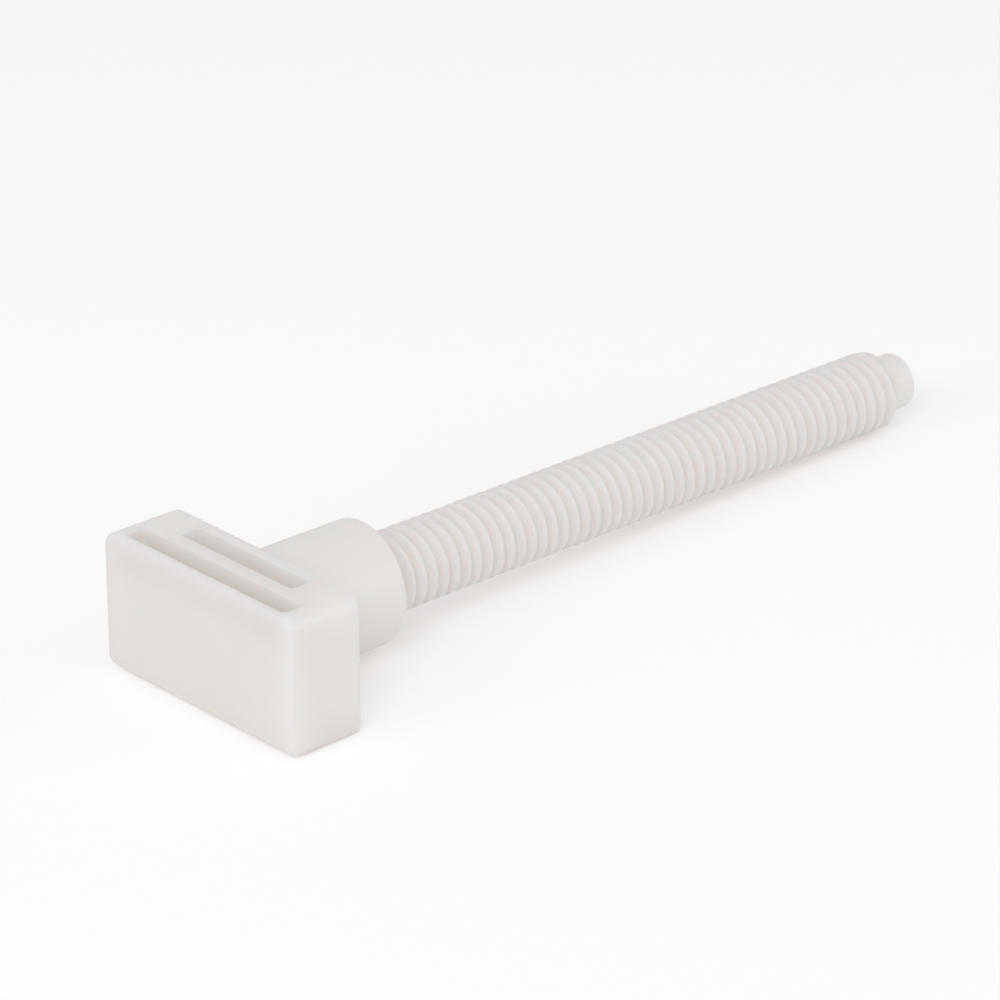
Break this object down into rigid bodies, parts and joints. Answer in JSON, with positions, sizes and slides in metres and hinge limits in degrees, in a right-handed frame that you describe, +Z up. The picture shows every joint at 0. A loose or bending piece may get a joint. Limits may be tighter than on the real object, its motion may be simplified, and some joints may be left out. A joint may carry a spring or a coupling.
{
  "type": "plastic t-head machine screw",
  "caption": "T-head screw moulded in one piece of milky plastic: a cored rectangular head, a plain round collar and a long fine-threaded shank that ends in a plain point.",
  "frame": {"origin": "on the floor, under the middle of the lying screw's box", "axes": "+X from the head towards the point, +Z up from the floor, +Y along the head"},
  "size_m": [0.0658, 0.0194, 0.0103],
  "materials": {
    "milky_plastic": "natural milky plastic, slightly translucent, satin moulded skin"
  },
  "bodies": {
    "root": {"t_head_screw": "milky_plastic"}
  },
  "joints": []
}
